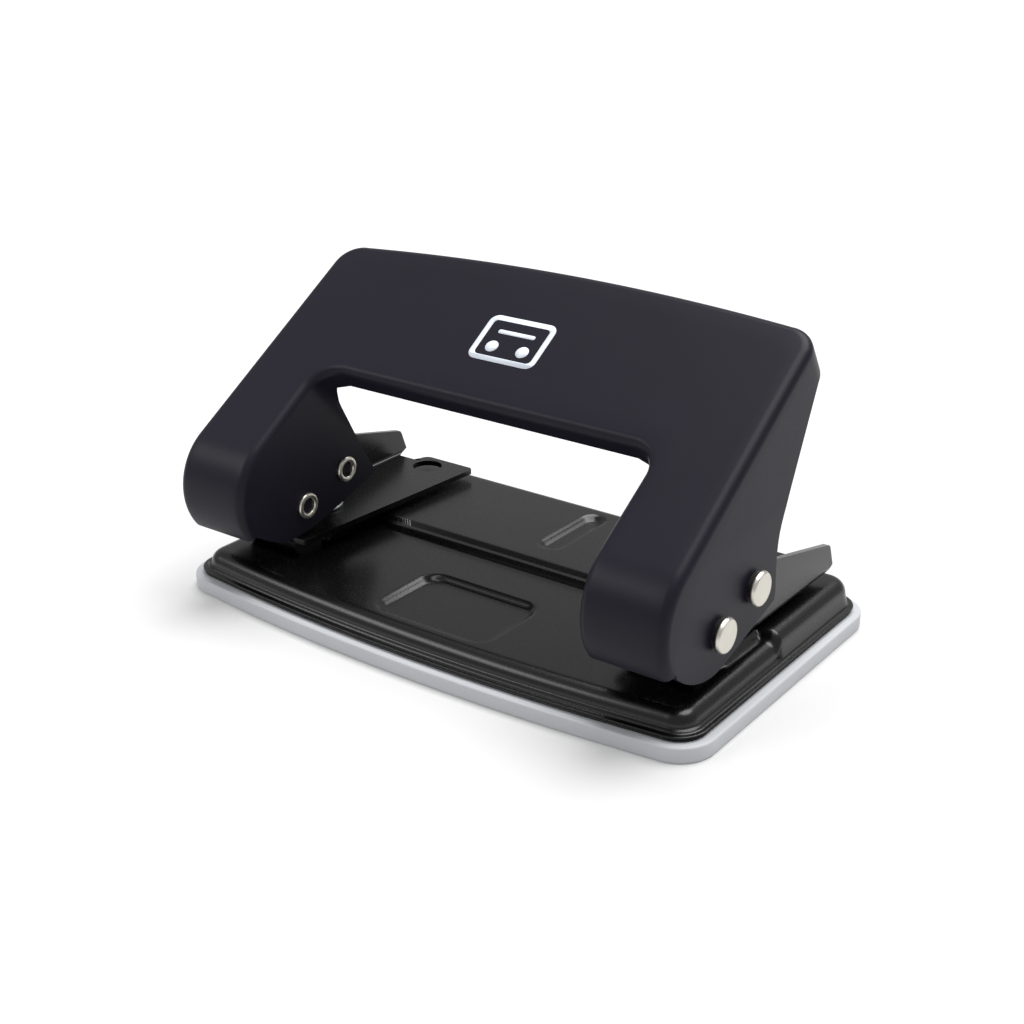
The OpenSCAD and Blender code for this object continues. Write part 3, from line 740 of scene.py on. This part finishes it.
for job, y, z in (("pivot_pin", PIVOT_Y, PIVOT_Z), ("pusher_pin", PUSH_Y, PUSH_Z)):
    for label, pin in both_sides(job + "_turned", "handle", lambda name: lathe(
            name, pin_profile[::-1], (LEG_OUT, y, z), (1, 0, 0), satin_nickel)):
        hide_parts(f"{label}_{job}")


# ---- Punches ----
# Each punch is a rod of hardened tool steel, ground to size. Its end is ground hollow so that it cuts from its
# edge inwards, and a groove higher up takes the collar that the spring lifts it by.

# Ground tool steel: grey with a low, slightly uneven shine under a film of oil
ground_steel = metal("ground_tool_steel", "a9abad", "8d8f92", 0.28, 0.2, 0.25)
punch_low, punch_high = (np.array(c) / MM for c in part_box("right_punch"))
collar_low, collar_high = (np.array(c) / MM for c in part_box("right_collar"))
PUNCH_R, GROOVE_R, GROOVE_W = 2.75, 2.25, 0.8
length = punch_high[2] - punch_low[2]
groove = collar_low[2] - punch_low[2]
punch_profile = [(0.02, 0.75), (1.3, 0.55), (2.2, 0.1), (2.4, 0), (PUNCH_R - 0.04, 0.02), (PUNCH_R, 0.1),
                 (PUNCH_R, groove - 0.02), (GROOVE_R, groove), (GROOVE_R, groove + GROOVE_W),
                 (PUNCH_R, groove + GROOVE_W + 0.02),
                 (PUNCH_R, length - 0.3), (PUNCH_R - 0.08, length - 0.1), (PUNCH_R - 0.3, length),
                 (0.02, length)]
for label, punch in both_sides("punch_rod", "punch", lambda name: lathe(
        name, punch_profile, (PUNCH_X, PUNCH_Y, punch_low[2]), (0, 0, 1), ground_steel)):
    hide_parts(f"{label}_punch")


# ---- Collars ----
# Each collar is a split ring stamped from spring steel and snapped sideways into the punch's groove. The return
# spring pushes up against it.

SPLIT, STEPS = 16, 72


def split_ring(name):
    """A flat ring with a gap: rounded sections carried round an arc, closed at both ends."""
    section = rounded(2.28, 4.4, 0, collar_high[2] - collar_low[2], 0.15, 4)
    a = np.radians(np.linspace(SPLIT / 2, 360 - SPLIT / 2, STEPS))[:, None]
    r, t = section[:, 0][None], section[:, 1][None] + 0 * a
    ring_points = np.stack([PUNCH_X + r * np.cos(a), PUNCH_Y + r * np.sin(a), collar_low[2] + t], -1)
    n = len(section)
    faces = [f[::-1] for f in grid_faces(STEPS, n, closed=True)]
    faces += [range(n), range((STEPS - 1) * n, STEPS * n)[::-1]]
    return surface(name, ring_points.reshape(-1, 3), faces, ground_steel)


for label, collar in both_sides("collar_ring", "punch", split_ring):
    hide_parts(f"{label}_collar")


# ---- Guides ----
# Each guide is a turned steel bush. Its flange rests on the foot, its lower end is pressed into the foot's
# hole, and the punch slides in its bore.

FOOT_TOP, GUIDE_BORE, FLANGE_R = FOOT_Z + SHEET, 2.8, 4.4
guide_profile = [
    (GUIDE_BORE, FOOT_Z + 0.15), (GUIDE_BORE + 0.15, FOOT_Z), (GUIDE_R, FOOT_Z), (GUIDE_R, FOOT_TOP),
    (FLANGE_R - 0.1, FOOT_TOP), (FLANGE_R, FOOT_TOP + 0.1), (FLANGE_R, FOOT_TOP + 0.5),
    (FLANGE_R - 0.1, FOOT_TOP + 0.6), (GUIDE_R + 0.1, FOOT_TOP + 0.6), (GUIDE_R, FOOT_TOP + 0.7),
    (GUIDE_R, FOOT_TOP + 1.9), (GUIDE_R - 0.2, FOOT_TOP + 2.1), (GUIDE_BORE + 0.15, FOOT_TOP + 2.1),
    (GUIDE_BORE, FOOT_TOP + 1.95)]
for label, guide in both_sides("guide_bush", "base", lambda name: lathe(
        name, guide_profile[::-1], (PUNCH_X, PUNCH_Y, 0), (0, 0, 1), ground_steel, ring=True)):
    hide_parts(f"{label}_guide")


# ---- Dies ----
# Each die is a hardened ring pressed up into the base plate from below, as far as its shoulder. Its sharp upper
# edge shears the paper, and the chip falls through it into the tray.

DIE_BORE, SHOULDER = 2.8, 4.5
die_profile = [
    (DIE_BORE, die_low[2]), (SHOULDER - 0.1, die_low[2]), (SHOULDER, die_low[2] + 0.1), (SHOULDER, BED_Z - 1.1),
    (DIE_R, BED_Z - 1.02), (DIE_R, BED_Z - 0.08), (DIE_R - 0.08, BED_Z), (DIE_BORE + 0.02, BED_Z),
    (DIE_BORE, BED_Z - 0.03)]
for label, die in both_sides("die_ring", "base", lambda name: lathe(
        name, die_profile, (PUNCH_X, PUNCH_Y, 0), (0, 0, 1), ground_steel, ring=True)):
    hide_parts(f"{label}_die")


# ---- Return springs ----
# Each spring is wound from round steel wire with its end turns lying nearly flat, then zinc plated. It stands
# on the foot round the guide and lifts the punch by its collar.

# Zinc plate over drawn wire: cool grey, brighter than the tool steel
zinc_wire = metal("zinc_plated_spring_wire", "c4c5c3", "a6a8a8", 0.3, 0.1, 0.2)
spring_low, spring_high = (np.array(c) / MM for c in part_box("right_spring"))
WIRE_R, COIL_R, TURNS, ALONG, ROUND = 0.225, 4.1, 4.5, 320, 12


def coil(name):
    """Wire carried along a helix: height is a quarter smooth step and three quarters even rise of the way
    along, and each section is a circle across the wire."""
    k = np.linspace(0, 1, ALONG)[:, None]
    a = 2 * np.pi * TURNS * k
    b = np.linspace(0, 2 * np.pi, ROUND, endpoint=False)[None]
    rise = 0.25 * ease(k) + 0.75 * k
    low, high = spring_low[2] + WIRE_R, spring_high[2] - WIRE_R
    r = COIL_R + WIRE_R * np.cos(b)
    wire = np.stack([PUNCH_X + r * np.cos(a), PUNCH_Y + r * np.sin(a),
                     low + (high - low) * rise + WIRE_R * np.sin(b)], -1)
    faces = [f[::-1] for f in grid_faces(ALONG, ROUND, closed=True)]
    faces += [range(ROUND), range((ALONG - 1) * ROUND, ALONG * ROUND)[::-1]]
    return surface(name, wire.reshape(-1, 3), faces, zinc_wire)


for label, spring in both_sides("return_coil", "base", coil):
    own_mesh(spring)
    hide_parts(f"{label}_spring")


# ---- Bracket rivets ----
# Two steel rivets hold each bracket's tab to the base. Each is a short pin whose ends are set into low domed
# heads, one over the tab and one under the base plate, and it is plated like the pins.

rivet_profile = [(0.02, -1.45), (0.9, -1.42), (1.4, -1.2), (1.55, -1.0), (1.0, -0.98), (1.0, 1.0),
                 (1.55, 1.02), (1.45, 1.25), (0.95, 1.45), (0.02, 1.48)]
for i, (x, s) in enumerate((x, s) for x in RIVET_X for s in (-1, 1)):
    rivet = lathe(f"bracket_rivet_{i}", rivet_profile, (s * (PUNCH_X + x), RIVET_Y, FRONT_Z), (0, 0, 1),
                  satin_nickel, n=32)
    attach(rivet, "base")
    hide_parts("bracket_rivets")
